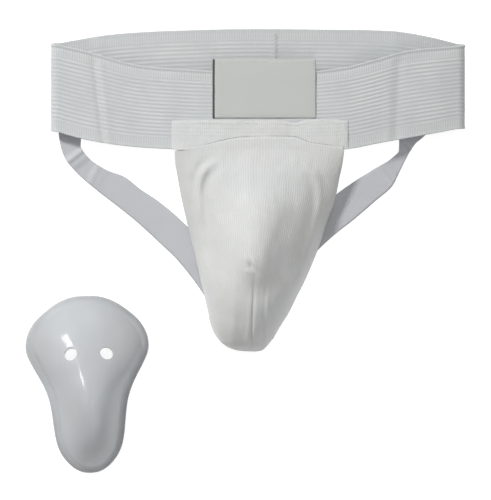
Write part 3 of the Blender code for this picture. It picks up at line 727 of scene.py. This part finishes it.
def cup_shell(name, top, lean, base, aside=0.0):
    """Hollow vented cup; aside leans its bowl toward +X by that share of its height."""
    edge, inward = cup_edge()
    field, peak = cup_face(edge, inward)
    flow = np.gradient(field, axis=0)
    turn = (np.roll(field, -1, axis=1) - np.roll(field, 1, axis=1)) / 2
    normal = np.cross(flow, turn)
    normal *= np.sign(normal[..., 2:3] + 1e-9)
    normal /= np.linalg.norm(normal, axis=2, keepdims=True)
    wall = CUP_T * 0.9
    layers = [ring + [0, 0, CUP_EDGE_T] for ring in field]
    layers.append(field[-1])
    for k in range(len(field) - 4, -1, -1):
        inside = field[k] + [0, 0, CUP_EDGE_T] - normal[k] * wall
        inside[:, 2] = np.maximum(inside[:, 2], 0.0)
        layers.append(inside)
    crown = peak + CUP_EDGE_T
    verts = np.concatenate([[(0.0, CUP_APEX, crown)], *layers, [(0.0, CUP_APEX, crown - wall)]])
    verts[:, 0] += verts[:, 2] * aside
    made = build(name, cup_to_row(verts, top, lean, base), ring_faces(len(layers), len(verts) - 1))
    face_outward(made)
    for sign in (-1, 1):
        drill_vent(made, sign * VENT_HALF, top, lean, base, aside)
    bevel = made.modifiers.new("vent_edge", "BEVEL")
    bevel.width = 0.45 * MM
    bevel.segments = 2
    bevel.limit_method = "ANGLE"
    bevel.angle_limit = math.radians(50)
    bpy.context.view_layer.objects.active = made
    bpy.ops.object.modifier_apply(modifier=bevel.name)
    made.data.polygons.foreach_set("use_smooth", [True] * len(made.data.polygons))
    paint_edge_shade(made, cup_to_row(np.column_stack([edge, edge[:, 0] * 0]), top, lean, base)[:, :2])
    return made


place(cup_shell("cup_moulding", CUP_TOP, CUP_LEAN, CUP_Z), "cup_body", "cup_plastic", CUP, "cup")
place(cup_shell("bare_cup_moulding", BARE_TOP, BARE_LEAN, 0.0, 0.1), "bare_cup_body", "cup_plastic", CUP,
      "bare_cup")


# ---------------------------------------------------------------- pouch
def edge_x(y):
    """X of the pouch's left and right edges at a height y."""
    down = -np.asarray(y, float)
    return [curve([(-row[0], row[side]) for row in POUCH_EDGE], down) for side in (1, 2)]


def over_cup(x, y):
    """Height of the cloth's middle where it lies on the cup, and 0 beside the cup."""
    dx, dy = x - CUP_TOP[0], y - CUP_TOP[1]
    s = dx * math.cos(CUP_LEAN) - dy * math.sin(CUP_LEAN)
    t = -dx * math.sin(CUP_LEAN) - dy * math.cos(CUP_LEAN)
    inside = np.abs(s) <= curve(CUP_OUTLINE, t)
    high = CUP_Z + CUP_T + cup_height(s, t) + POUCH_T / 2 + 0.6
    return np.where(inside & (t > 0) & (t < CUP_LENGTH), high, 0.0)


ROWS, COLS = 190, 131
TOP_H, BAND_H, TIP_H = 99.2, 87.2, -86.0
row_h = np.linspace(TOP_H, TIP_H, ROWS)
u = np.linspace(-1, 1, COLS)
pouch_u = np.sin(u * math.pi / 2) * 0.3 + u * 0.7
left_x, right_x = edge_x(row_h)
px = (left_x + right_x)[:, None] / 2 + (right_x - left_x)[:, None] / 2 * pouch_u[None, :]
rise = np.clip((row_h - BAND_H) / (TOP_H - BAND_H), 0, 1)[:, None]
py = np.minimum(row_h, BAND_H)[:, None] + rise * (curve(ARCH, px) - BAND_H)
nose = curve([(-99.2, 0.0), (-20.0, 0.0), (6.0, 30.0), (26.0, 37.5), (44.0, 36.0), (58.0, 30.5), (70.0, 23.5),
              (78.0, 16.5), (83.0, 9.5), (86.0, 0.0)], -py)
nose = nose * np.clip(1 - np.abs(pouch_u)[None, :] ** 2.3, 0, 1) ** 0.6
held = np.maximum(over_cup(px, py), nose + EDGE_Z)
on_band = on_front(px, py, 1.45)[..., 2]
pz = np.maximum(held, EDGE_Z)
fixed = row_h >= BAND_H
fall = np.clip((BAND_H - row_h) / 85.0, 0, 1)
first = int(fixed.sum()) - 1
side_z = on_band[first, 0] * (1 - fall) ** 1.5 + EDGE_Z * (1 - (1 - fall) ** 1.5)
pz[fixed] = on_band[fixed]
pz[~fixed, 0] = side_z[~fixed]
pz[~fixed, -1] = side_z[~fixed]
pz[-1] = EDGE_Z
for _ in range(5000):
    around = pz[first:-2, 1:-1] + pz[first + 2:, 1:-1] + pz[first + 1:-1, :-2] + pz[first + 1:-1, 2:]
    pz[first + 1:-1, 1:-1] = np.maximum(around / 4, held[first + 1:-1, 1:-1])
for _ in range(8):
    around = pz[:-2, 1:-1] + pz[2:, 1:-1] + pz[1:-1, :-2] + pz[1:-1, 2:]
    pz[1:-1, 1:-1] = (around + 4 * pz[1:-1, 1:-1]) / 8
rounded = np.sqrt(np.clip(1 - np.abs(pouch_u) ** 9, 0, 1))[None, :] * np.clip((BAND_H - py) / 20, 0, 1)
rounded *= np.clip((py - TIP_H) / 5, 0, 1) ** 0.5
pz += 2.6 * rounded
RIDGES = [
    ([(-20.0, 79.0), (-27.5, 75.5), (-34.0, 70.3), (-38.4, 61.6), (-40.0, 48.7), (-39.2, 31.5), (-38.4, 14.2),
      (-36.6, -3.0), (-33.5, -22.0), (-29.0, -42.0)], 1.6, 1),
    ([(41.0, 79.0), (49.0, 75.5), (57.3, 68.5), (63.2, 56.5), (64.0, 44.4), (60.5, 25.4), (55.3, 5.6),
      (48.0, -16.0), (40.5, -35.0), (33.0, -52.0)], 0.75, -1),
]


def beside(line, x, y):
    """Signed distance from a smooth line, positive toward +X, and the share of the way along it."""
    path = rail(line, 90)
    gap = np.hypot(x[..., None] - path[:, 0], y[..., None] - path[:, 1])
    near = gap.argmin(axis=-1)
    along = np.gradient(path, axis=0)[near]
    turn = along[..., 0] * (y - path[near, 1]) - along[..., 1] * (x - path[near, 0])
    return gap.min(axis=-1) * np.sign(turn), near / 89.0


for line, high, side in RIDGES:
    off, share = beside(line, px, py)
    off = off * side
    ends = np.clip(share * 7, 0, 1) * np.clip((1 - share) * 2.2, 0, 1)
    pz += ends * high * (bump(off, 0.0, 2.6) - 1.15 * bump(off, 7.0, 4.2) - 0.4 * bump(off, -6.0, 3.0))
inner = np.clip((1 - np.abs(pouch_u)[None, :]) * 6, 0, 1) * np.clip((BAND_H + 3 - py) / 6, 0.15, 1)
pts = np.stack([px, py * 0.5, px * 0], axis=2)
pz += 0.55 * wave(pts, 15.0, 2.0) * inner + 0.3 * wave(pts, 6.0, 9.0) * inner
dart_line = 8.0 - 3.4 * np.clip((-16 - py) / 66, 0, 1)
on_dart = np.clip((-py - 14) / 34, 0, 1)
pz -= 1.1 * bump(px, dart_line, 1.0) * on_dart
pz += on_dart * (0.5 * bump(px, dart_line - 2.8, 1.8) + 0.3 * bump(px, dart_line + 3.0, 1.9))
pz += on_dart * (0.55 * bump(px, dart_line + 12.5, 1.6) - 0.35 * bump(px, dart_line + 9.5, 2.0))
pz += on_dart * 0.6 * bump(px, dart_line - 16.0, 3.0)
PUCKER = [(1.0, -8.0, 1.6, 4.0, 1.2), (4.5, -11.5, 1.4, 4.0, -1.65), (8.0, -10.0, 1.6, 4.5, 1.2),
          (2.5, -17.0, 3.0, 2.6, 0.9), (12.0, -14.0, 2.0, 4.0, 0.6)]
for cx, cy, wx, wy, high in PUCKER:
    pz += high * bump(px + 0.45 * (py - cy), cx, wx) * bump(py, cy, wy)
pz[:2] -= 0.8
pouch_grid = np.stack([px, py, pz], axis=2)
pouch = sheet("pouch_cloth", pouch_grid, POUCH_T, cloth_uv(pouch_grid), outward=-1)
face_outward(pouch)
place(pouch, "supporter", "cotton", COTTON, "pouch_front")
seam_line = pouch_grid[0] + [0, 0.2, 0.75]
# the arch stitches carry painted shadow: their dark thread stands for the shade under the yoke's edge
arch_thread = stitches("yoke_arch_stitches", seam_line, [(0, 0, 1)] * COLS, 2.1, 0.3, 0.5, 0.35)
place(arch_thread, "supporter", "thread", SEAM_SHADOW, "yoke_arch_stitching")


def tube(name, path, radius, sides=10):
    """A smooth rolled edge along a path of millimetre points."""
    path = np.asarray(path, float)
    along = np.gradient(path, axis=0)
    along /= np.linalg.norm(along, axis=1, keepdims=True)
    side = np.cross(along, (0, 0, 1))
    side /= np.linalg.norm(side, axis=1, keepdims=True)
    up = np.cross(side, along)
    turn = np.linspace(0, 2 * math.pi, sides, endpoint=False)
    ring = side[:, None] * np.cos(turn)[None, :, None] + up[:, None] * np.sin(turn)[None, :, None]
    thick = np.full(len(path), radius)
    thick[0] = thick[-1] = radius * 0.5
    verts = (path[:, None] + ring * thick[:, None, None]).reshape(-1, 3)
    run = np.concatenate([[0], np.cumsum(np.linalg.norm(np.diff(path, axis=0), axis=1))])
    uv = np.stack(np.meshgrid(turn * radius, run), axis=-1).reshape(-1, 2)
    faces = []
    for i in range(len(path) - 1):
        for a in range(sides):
            b = (a + 1) % sides
            faces.append([i * sides + a, i * sides + b, (i + 1) * sides + b, (i + 1) * sides + a])
    faces.append(list(range(sides - 1, -1, -1)))
    faces.append([(len(path) - 1) * sides + a for a in range(sides)])
    return build(name, verts, faces, uv)


for side, k in (("left", 0), ("right", -1)):
    hem = pouch_grid[first:, k] + [0, 0, -0.2]
    hem_piece = tube(f"pouch_hem_{side}", hem, 0.95)
    place(hem_piece, "supporter", "cotton", COTTON, f"pouch_binding_{side}")

liner_h = np.linspace(80.0, -80.0, 90)
liner_l, liner_r = edge_x(liner_h)
liner_u = np.linspace(-1, 1, 60)
liner_px = (liner_l + liner_r)[:, None] / 2 + ((liner_r - liner_l)[:, None] / 2 - 0.8) * liner_u[None, :]
liner_py = np.repeat(liner_h[:, None], 60, axis=1)
liner_side = np.interp(-liner_h, -row_h[first:], side_z[first:])
liner_pz = 2.5 + 0.18 * wave(np.stack([liner_px, liner_py, liner_px * 0], axis=2), 14.0, 8.0)
liner_pz += np.maximum(liner_side - 4.0, 0)[:, None] * np.abs(liner_u)[None, :] ** 9
liner_grid = np.stack([liner_px, liner_py, liner_pz], axis=2)
liner = sheet("pouch_liner_cloth", liner_grid, 0.8, cloth_uv(liner_grid), outward=-1)
face_outward(liner)
place(liner, "supporter", "cotton", COTTON, "pouch_liner")
mouth = tube("pocket_mouth_hem", liner_grid[0] + [0, 0.9, 0.1], 0.85)
place(mouth, "supporter", "cotton", COTTON, "pocket_mouth_binding")


def zigzag(name, start, end, width, pitch, height, material, node):
    """A zigzag row of thread between two points, its width across the row."""
    start, end = np.array(start, float), np.array(end, float)
    long = np.linalg.norm(end - start)
    along = (end - start) / long
    side = np.cross((0, 0, 1), along)
    count = int(long / pitch)
    path = [start + along * (k * long / count) + side * width / 2 * (-1) ** k for k in range(count + 1)]
    piece = tube(name, path, height, 6)
    return place(piece, "supporter", "thread", material, node)


zigzag("waistband_join_zigzag", (26.0, 190.0, 3.1), (26.0, 120.0, 3.1), 2.6, 1.6, 0.2, BAND_THREAD,
       "waistband_join_stitching")
TACKS = [
    ("band_tack_left", -160.0, -144.0, 113.0, 4.6, 0.25),
    ("band_tack_right", 136.0, 156.0, 113.0, 4.6, 0.25),
    ("tip_tack_left", -15.5, 0.5, -71.0, 1.7, 0.22),
    ("tip_tack_right", 5.8, 21.5, -71.0, 1.7, 0.22),
]
for tack, x0, x1, y, z, thick in TACKS:
    zigzag(f"{tack}_zigzag", (x0, y, z), (x1, y, z), 2.8, 0.9, thick, THREAD, tack)


def pouch_point(x, y, off):
    """Point off the pouch's middle surface along its normal, and that normal."""
    def z_at(ax, ay):
        r = np.interp(-ay, -row_h, np.arange(ROWS))
        k = min(int(r), ROWS - 2)
        a, b = np.interp(ax, px[k], pz[k]), np.interp(ax, px[k + 1], pz[k + 1])
        return a + (b - a) * (r - k)

    across = (z_at(x + 1.5, y) - z_at(x - 1.5, y)) / 3
    up = (z_at(x, y + 1.5) - z_at(x, y - 1.5)) / 3
    n = np.array([-across, -up, 1.0])
    n /= np.linalg.norm(n)
    return np.array([x, y, z_at(x, y)]) + n * off, n


dart = [pouch_point(8.0 - 3.4 * (-16 - y) / 66, y, POUCH_T / 2 + 0.1) for y in np.linspace(-22.0, -83.0, 60)]
dart_thread = stitches("pouch_dart_stitches", [p for p, _ in dart], [n for _, n in dart], 2.0, 0.5, 0.7, 0.45)
place(dart_thread, "supporter", "thread", THREAD, "pouch_dart_seam")


# ---------------------------------------------------------------- leg straps
def strap(name, inner, outer, node, folds):
    """Flat webbing between two edge lines; a fold is a ridge through (x, y), its slant and its height."""
    count, wide = 220, 15
    a, b = rail(inner, count), rail(outer, count)
    w = np.linspace(0, 1, wide)[:, None, None]
    flat = a[None] * (1 - w) + b[None] * w
    z = np.where(flat[..., 1] > 98, BAND_T + 0.3 + STRAP_T / 2 + 0.2, STRAP_T / 2)
    z = np.array([np.convolve(np.pad(row, 12, mode="edge"), np.ones(25) / 25, "valid") for row in z])
    spots = np.stack([flat[..., 0], flat[..., 1], flat[..., 0] * 0], axis=2)
    z += np.clip(0.5 + 0.6 * wave(spots, 25.0, 4.0), 0, 2)
    for fx, fy, tilt, high in folds:
        off = (flat[..., 0] - fx) * math.cos(tilt) + (flat[..., 1] - fy) * math.sin(tilt)
        z += high * (bump(off, 0.0, 2.2) + 0.5 * bump(off, 5.5, 3.5))
    grid = np.concatenate([flat, z[..., None]], axis=2)
    made = sheet(name, grid, 1.2, cloth_uv(grid), outward=1)
    face_outward(made)
    return place(made, "supporter", "strap_elastic", STRAP, node)


left_strap = strap("leg_strap_left_webbing", LEFT_INNER, LEFT_OUTER, "leg_strap_left",
                   [(-146.0, 84.0, -0.9, 2.6), (-128.0, 72.0, -0.5, 1.2)])
right_strap = strap("leg_strap_right_webbing", RIGHT_INNER, RIGHT_OUTER, "leg_strap_right",
                    [(143.0, 90.0, 0.45, 2.4), (126.0, 60.0, 0.6, 1.3)])

# ---------------------------------------------------------------- the pouch and its dart stitches get their own mesh data
for soft in (pouch, dart_thread):
    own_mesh(soft)

# ---------------------------------------------------------------- floor, light, camera
floor_mesh = bpy.data.meshes.new("floor")
floor_mesh.from_pydata([(-3, -3, 0), (3, -3, 0), (3, 3, 0), (-3, 3, 0)], [], [(0, 1, 2, 3)])
floor = bpy.data.objects.new("floor", floor_mesh)
bpy.context.scene.collection.objects.link(floor)
paper = Graph("pale_floor", (0.45, 0.45, 0.45), 0.95, Specular_IOR_Level=0.1)
paper.shader.inputs["Emission Color"].default_value = (1, 1, 1, 1)
paper.shader.inputs["Emission Strength"].default_value = 0.8
floor_mesh.materials.append(paper.material)

world = bpy.data.worlds.new("studio")
bpy.context.scene.world = world
world.use_nodes = True
world.node_tree.nodes["Background"].inputs["Color"].default_value = (1, 1, 1, 1)
world.node_tree.nodes["Background"].inputs["Strength"].default_value = 0.235


def lamp(name, place_at, size, power):
    """A rectangular lamp that looks at the middle of the object."""
    data = bpy.data.lights.new(name, "AREA")
    data.shape = "RECTANGLE"
    data.size, data.size_y = size
    data.energy = power
    made = bpy.data.objects.new(name, data)
    made.location = place_at
    aim = Vector((0, 0.02, 0.02)) - Vector(place_at)
    made.rotation_euler = aim.to_track_quat("-Z", "Y").to_euler()
    bpy.context.scene.collection.objects.link(made)


lamp("key", (-1.2, 1.35, 1.5), (0.34, 0.34), 43.5)
lamp("foot", (0.25, -1.2, 1.7), (0.6, 0.6), 4.5)
lamp("spark", (0.1, -0.25, 1.9), (0.05, 0.05), 1.2)
lamp("fill", (1.3, 0.5, 1.6), (1.2, 1.2), 3.0)
lamp("top", (0.0, 0.6, 2.2), (1.2, 1.2), 6.0)

view = bpy.context.scene.view_settings
view.view_transform = "Standard"
camera_data = bpy.data.cameras.new("camera")
camera = bpy.data.objects.new("camera", camera_data)
bpy.context.scene.collection.objects.link(camera)
camera.location = (0.0, 0.0013, 2.2)
camera_data.sensor_width = 36.0
camera_data.lens = 36.0 * 2.185 / 0.431
bpy.context.scene.camera = camera
